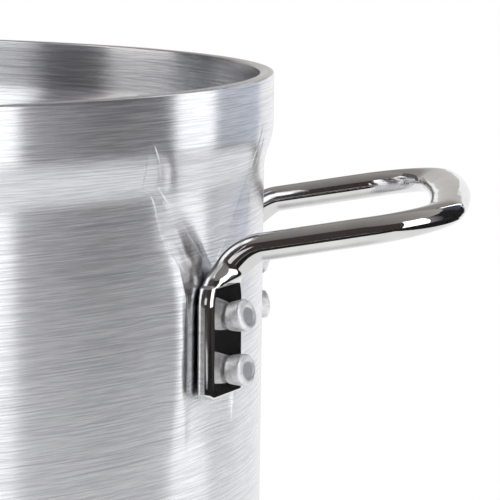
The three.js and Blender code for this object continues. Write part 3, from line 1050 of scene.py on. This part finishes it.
def hang_card(name, points, faces, glows, lights=None):
    """A card that shows in reflections only. Lights is what it may light, if that isn't everything."""
    mesh = bpy.data.meshes.new(name)
    mesh.from_pydata(points, [], faces)
    glow = mesh.attributes.new("glow", "FLOAT_COLOR", "POINT")
    glow.data.foreach_set("color", [part for colour in glows for part in (*colour, 1)])
    mesh.materials.append(card_glow)
    piece = add(name, mesh)
    for ray in ("camera", "diffuse", "shadow", "volume_scatter"):
        setattr(piece, f"visible_{ray}", False)
    if lights:
        piece.light_linking.receiver_collection = lights
    return piece


def stand_card(name, distance, turn, rise, start, end=None, top=None, lights=None):
    """A curved card. Turn is in degrees clockwise from the back, rise is above the eye line.

    Its colour goes from start to end along it, or from start to top up it."""
    shares = np.linspace(0, 1, CARD_COLUMNS)
    angles = np.radians(blend(*turn, shares))
    along = [blend(np.array(start), np.array(end or start), share) for share in shares]
    upper = [np.array(top)] * CARD_COLUMNS if top else along
    heights = [STUDIO_EYE + distance * math.tan(math.radians(degrees)) for degrees in rise]
    points = [(distance * math.sin(a), distance * math.cos(a), z) for z in heights for a in angles]
    faces = [(k, k + 1, CARD_COLUMNS + k + 1, CARD_COLUMNS + k) for k in range(CARD_COLUMNS - 1)]
    return hang_card(name, points, faces, along + upper, lights)


def ceiling_card():
    """A ceiling that is light above the back and the right, and darker towards the camera."""
    height = STUDIO_EYE + ROOM_RADIUS * math.tan(math.radians(ROOM_RISE))
    turns = around(CEILING_SIDES)
    edge = [(ROOM_RADIUS * math.sin(t), ROOM_RADIUS * math.cos(t), height) for t in turns]
    faces = [(0, k + 1, (k + 1) % CEILING_SIDES + 1) for k in range(CEILING_SIDES)]
    shares = [CEILING_MIDDLE] + [0.5 + 0.5 * math.cos(t - CEILING_LIGHT_TURN) for t in turns]
    glows = [blend(np.array(CEILING_DARK), np.array(CEILING_LIGHT), share) for share in shares]
    return hang_card("ceiling", [(0, 0, height)] + edge, faces, glows)


def floor_card(name, low, high, glow, lights=None):
    """A flat card just above the table, between two corners."""
    corners = [low, (high[0], low[1]), high, (low[0], high[1])]
    points = [(*corner, FLOOR_CARD_HEIGHT) for corner in corners]
    return hang_card(name, points, [(0, 1, 2, 3)], [glow] * len(corners), lights)


print("Cards ready:", CARD_COLUMNS, "columns each, in a room of", ROOM_RADIUS, "m radius")

# %% [markdown]
# ## Where the cards stand
#
# First comes a dark room with a ceiling. Brighter cards and softboxes stand in front of its walls, and flat
# cards just above the table carry its white on and end it at the side. The brushed wall and the chrome ask
# for different surroundings on the right: the wall needs light from there and the chrome needs dark. So
# some cards light only the wall and the rivets, by Blender's light linking, and look black in the chrome.

# %% Stand cards and softboxes around the pot
ROOM_FOOT = -60
SKIRTING_TOP = 5
TABLE_SIDE = 0.49
TABLE_END = 1.5
TABLE_FRONT = -0.54
DARK_SKIRTING = (0.035, 0.027, 0.025)
FRONT_WALL = (0.035, 0.025, 0.022)
TAUPE_WALL = (0.30, 0.272, 0.260)
WHITE_CARD = (0.95, 0.95, 0.96)
BEIGE_CARD = (0.60, 0.585, 0.56)
COOL_CARD = (0.55, 0.58, 0.66)
BLUE_CARD = (0.04, 0.057, 0.10)
GREY_CARD = (0.26, 0.25, 0.27)
LEFT_GREY_CARD = (0.24, 0.24, 0.26)
DARK_CARD = (0.14, 0.14, 0.15)
LEFT_DARK_CARD = (0.10, 0.10, 0.11)
BLACK_CARD = (0.03, 0.028, 0.032)
BACK_PANEL = (2.2, 2.2, 2.25)
RIGHT_BACK_SOFTBOX = (1.55, 1.55, 1.6)
RIGHT_FRONT_SOFTBOX = (2.4, 2.4, 2.45)
FRONT_PANEL = (0.9, 0.9, 0.9)
LEFT_SOFTBOX = (1.4, 1.36, 1.32)
LEFT_FRONT_SOFTBOX = (1.8, 1.8, 1.85)

wall_only = bpy.data.collections.new("lit by the wall's own cards")
for lit in [shell] + rivets:
    wall_only.objects.link(lit)
cards = [
    stand_card("dark_skirting", ROOM_RADIUS, (-180, 180), (ROOM_FOOT, SKIRTING_TOP), DARK_SKIRTING),
    stand_card("front_wall", ROOM_RADIUS, (100, 260), (SKIRTING_TOP, ROOM_RISE), FRONT_WALL),
    stand_card("back_wall", ROOM_RADIUS, (-100, 36), (SKIRTING_TOP, ROOM_RISE), TAUPE_WALL),
    stand_card("right_wall", ROOM_RADIUS, (36, 100), (SKIRTING_TOP, ROOM_RISE), BLACK_CARD),
    ceiling_card(),
    floor_card("table_right", (TABLE_SIDE, TABLE_FRONT), (TABLE_END, TABLE_END), WHITE_CARD, wall_only),
    floor_card("table_front", (-TABLE_END, -TABLE_END), (TABLE_END, TABLE_FRONT), WHITE_CARD, wall_only),
    floor_card("dark_side", (TABLE_END, -ROOM_RADIUS), (ROOM_RADIUS, ROOM_RADIUS), DARK_SKIRTING),
    stand_card("white_backdrop", 2.6, (-34, 9), (-50, 3), WHITE_CARD),
    stand_card("backdrop_top", 2.6, (-34, 22), (3, 22), BEIGE_CARD, top=TAUPE_WALL),
    stand_card("blue_card", 2.7, (18, 42), (8, 40), BLUE_CARD),
    stand_card("back_right_panel", 2.45, (22.5, 26.5), (13, 40), BACK_PANEL),
    stand_card("low_right_card", 0.9, (18, 43), (-19, -8.5), WHITE_CARD),
    stand_card("right_backdrop", 2.5, (9, 27), (-50, 8), WHITE_CARD),
    stand_card("backdrop_edge", 2.5, (27, 32), (-12, 16), COOL_CARD),
    stand_card("cool_card", 2.5, (32, 51), (-12, 16), COOL_CARD, lights=wall_only),
    stand_card("right_back_softbox", 1.45, (54, 69), (-10.9, 44), RIGHT_BACK_SOFTBOX, lights=wall_only),
    stand_card("right_flag", 2.4, (64, 86), (-10, 44), DARK_CARD, end=BLACK_CARD, lights=wall_only),
    stand_card("right_grey_card", 2.4, (86, 106), (-10, 44), BLACK_CARD, end=GREY_CARD),
    stand_card("right_front_softbox", 2.4, (107, 142), (-6, 48), RIGHT_FRONT_SOFTBOX),
    stand_card("front_left_panel", 2.4, (188, 210), (3, 22), FRONT_PANEL),
    stand_card("left_back_flag", 2.7, (-62, -33), (4, 44), LEFT_DARK_CARD),
    stand_card("left_softbox", 2.4, (-88, -64), (-12, 44), LEFT_SOFTBOX),
    stand_card("left_flag", 2.4, (-106, -90), (-12, 44), LEFT_GREY_CARD),
    stand_card("left_front_softbox", 2.4, (-150, -107), (8, 44), LEFT_FRONT_SOFTBOX),
]
print("Studio:", len(cards), "cards and softboxes")

# %% [markdown]
# ## The table
#
# The pot stands on a pale, slightly grained table, which keeps its soft shadow. Towards its edge the table
# fades to plain white, as a long sheet of paper does in a photograph, both for the camera and for what the
# metal shows. More light could burn it white too, but that would change the pot as well.

# %% Lay the table
TABLE_RADIUS = 1.6
TABLE_SIDES = 96
TABLE_DARK = (0.80, 0.80, 0.805, 1)
TABLE_LIGHT = (0.84, 0.84, 0.845, 1)
TABLE_SCALES = (300, 300, 300)
WHITE = (1, 1, 1, 1)
PICTURE_FADE = (0.35, 0.9)
METAL_FADE = (0.16, 0.3)


def seen_rays(bench):
    """Two masks: what the camera sees straight on, and what it sees by way of metal or glass."""
    path = bench.node("ShaderNodeLightPath")
    by_metal = bench.wire(path, "Is Glossy Ray") + bench.wire(path, "Is Transmission Ray")
    return bench.wire(path, "Is Camera Ray"), bench.sum("MINIMUM", by_metal, 1.0)


def table_finish():
    material, bench = new_finish("pale_table")
    x, y, z = bench.place()
    from_pot = (x * x + y * y) ** 0.5
    colour = bench.mix(bench.noise((x, y, z), TABLE_SCALES), TABLE_DARK, TABLE_LIGHT)
    top = bench.node("ShaderNodeBsdfDiffuse", values={"Color": colour})
    white = bench.node("ShaderNodeEmission", values={"Color": WHITE, "Strength": 1.0})
    in_picture, in_metal = seen_rays(bench)
    share = in_picture * bench.ramp(from_pot, *PICTURE_FADE) + in_metal * bench.ramp(from_pot, *METAL_FADE)
    both = bench.node("ShaderNodeMixShader", values={
        0: share, 1: bench.wire(top), 2: bench.wire(white)})
    bench.surface(both)
    material.cycles.emission_sampling = "NONE"
    return material


table_edge = [(TABLE_RADIUS * math.cos(t), TABLE_RADIUS * math.sin(t), 0) for t in around(TABLE_SIDES)]
table_mesh = bpy.data.meshes.new("table")
table_mesh.from_pydata(table_edge, [], [list(range(TABLE_SIDES))])
table_mesh.materials.append(table_finish())
table = add("table", table_mesh)
print("Table:", TABLE_RADIUS, "m radius")

# %% [markdown]
# ## The lamp and the white background
#
# One soft lamp hangs above the pot and draws its shadow, and the world fills the shadow in. Both are set so
# that a colour looks about as it is written. The background is white for the camera and in the metal, but
# gives off less than that, so it doesn't wash out the pot.

# %% Hang the lamp and light the world
LAMP_PLACE = (-0.5, -0.5, 2.2)
LAMP_TARGET = (0, 0, 0.2)
LAMP_SIZE = (1.5, 1.0)
LAMP_WATTS = 13
FILL_STRENGTH = 0.65

lamp_data = bpy.data.lights.new("overhead_softbox", "AREA")
lamp_data.shape = "RECTANGLE"
lamp_data.size, lamp_data.size_y = LAMP_SIZE
lamp_data.energy = LAMP_WATTS
lamp = add("overhead_softbox", lamp_data)
lamp.location = LAMP_PLACE
lamp.rotation_euler = (Vector(LAMP_TARGET) - Vector(LAMP_PLACE)).to_track_quat("-Z", "Y").to_euler()
lamp.visible_glossy = False

world = bpy.data.worlds.new("studio")
world.use_nodes = True
bpy.context.scene.world = world
bench = Bench(world.node_tree)
in_picture, in_metal = seen_rays(bench)
fill_light = bench.node("ShaderNodeBackground", values={"Color": WHITE, "Strength": FILL_STRENGTH})
white_light = bench.node("ShaderNodeBackground", values={"Color": WHITE, "Strength": 1.0})
sky = bench.node("ShaderNodeMixShader", values={
    0: in_picture + in_metal, 1: bench.wire(fill_light), 2: bench.wire(white_light)})
bench.node("ShaderNodeOutputWorld", values={"Surface": bench.wire(sky)})
print("Lamp:", lamp.name, "of", LAMP_WATTS, "W, world fill", FILL_STRENGTH)
